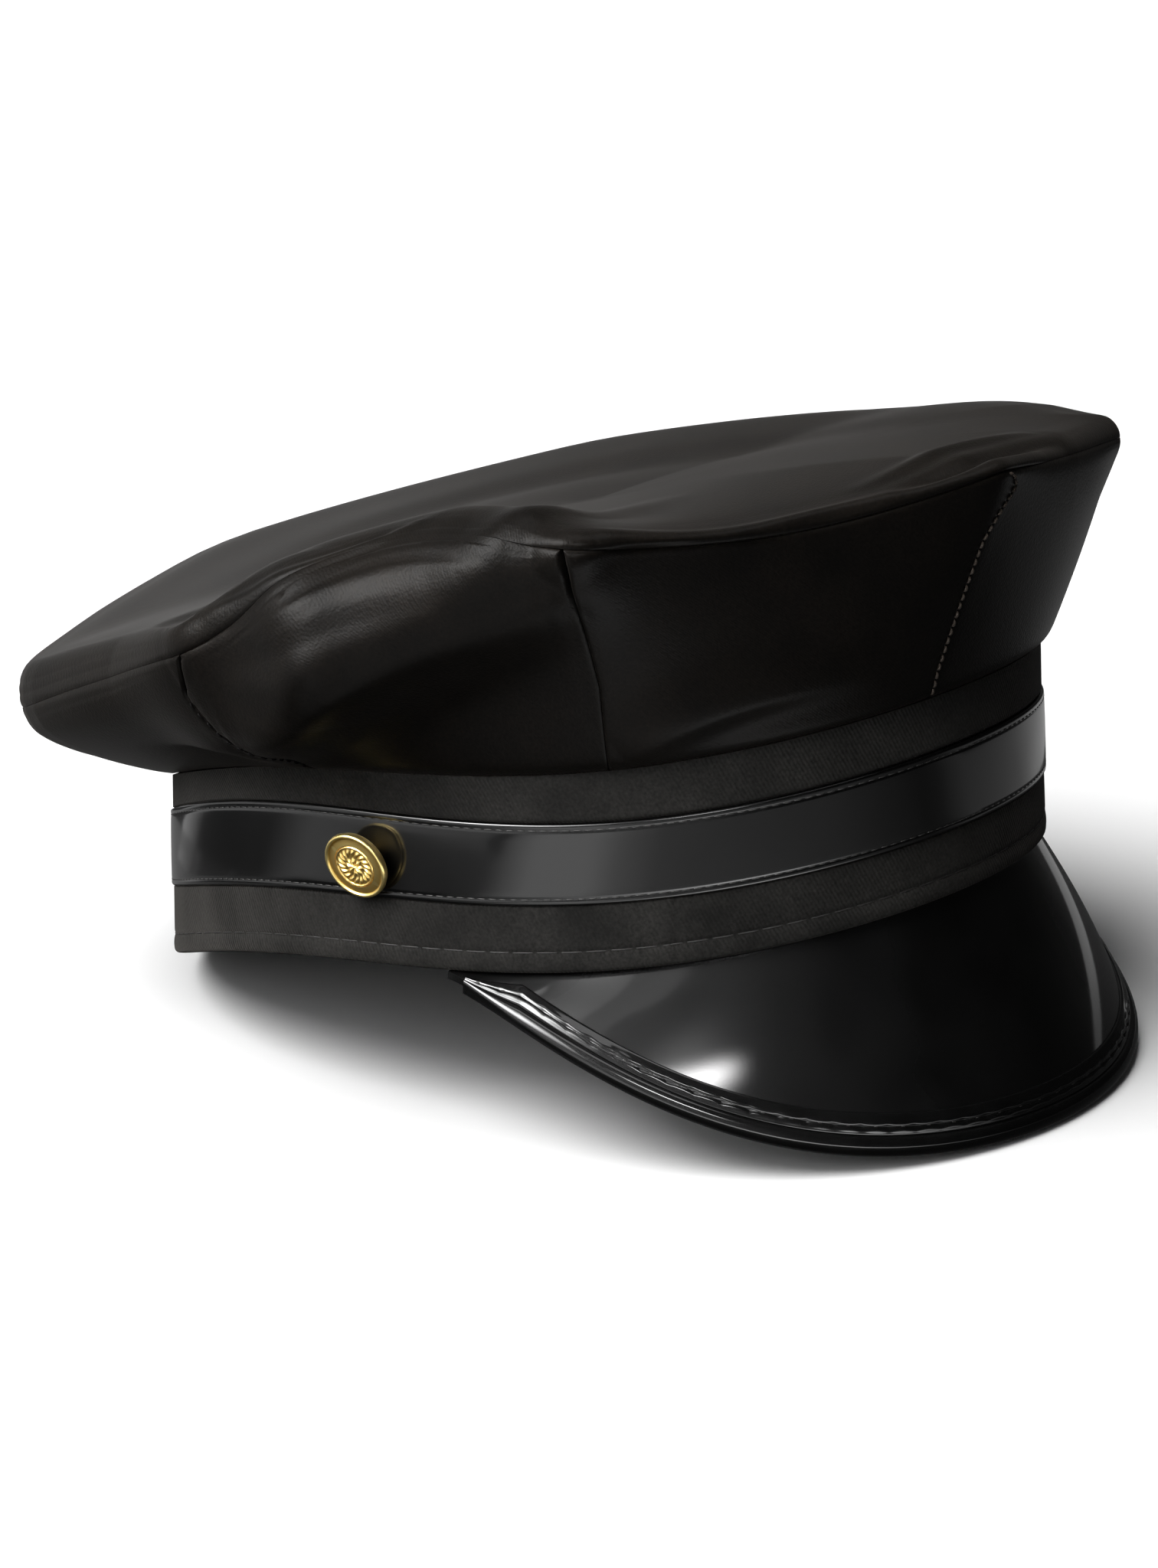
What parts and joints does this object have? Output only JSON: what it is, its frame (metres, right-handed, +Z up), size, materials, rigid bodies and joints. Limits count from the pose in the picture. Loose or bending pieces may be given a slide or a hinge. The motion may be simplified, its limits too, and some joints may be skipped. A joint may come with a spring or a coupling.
{
  "type": "chauffeur cap",
  "caption": "Peaked cap with a soft black crown that flares over a stiff cloth band, a patent strap with gilt side buttons, and a bound patent peak.",
  "frame": {"origin": "middle of the cap's outline in plan, on the surface it stands on", "axes": "+Z up, -Y towards the front of the cap, -X towards the wearer's right"},
  "size_m": [0.2176, 0.256, 0.1424],
  "materials": {
    "crown_cloth": "satin black polyester with a soft sheen",
    "band_cloth": "matte black twill",
    "patent": "gloss black patent vinyl",
    "gilt": "polished gilt"
  },
  "bodies": {
    "root": {"crown_top": "crown_cloth", "crown_side_1": "crown_cloth", "crown_side_2": "crown_cloth", "crown_side_3": "crown_cloth", "crown_side_4": "crown_cloth", "crown_side_5": "crown_cloth", "crown_side_6": "crown_cloth", "crown_side_7": "crown_cloth", "crown_side_8": "crown_cloth", "hat_band": "band_cloth", "strap": "patent", "peak": "patent", "peak_binding": "patent", "button_right": "gilt", "button_left": "gilt"}
  },
  "joints": []
}
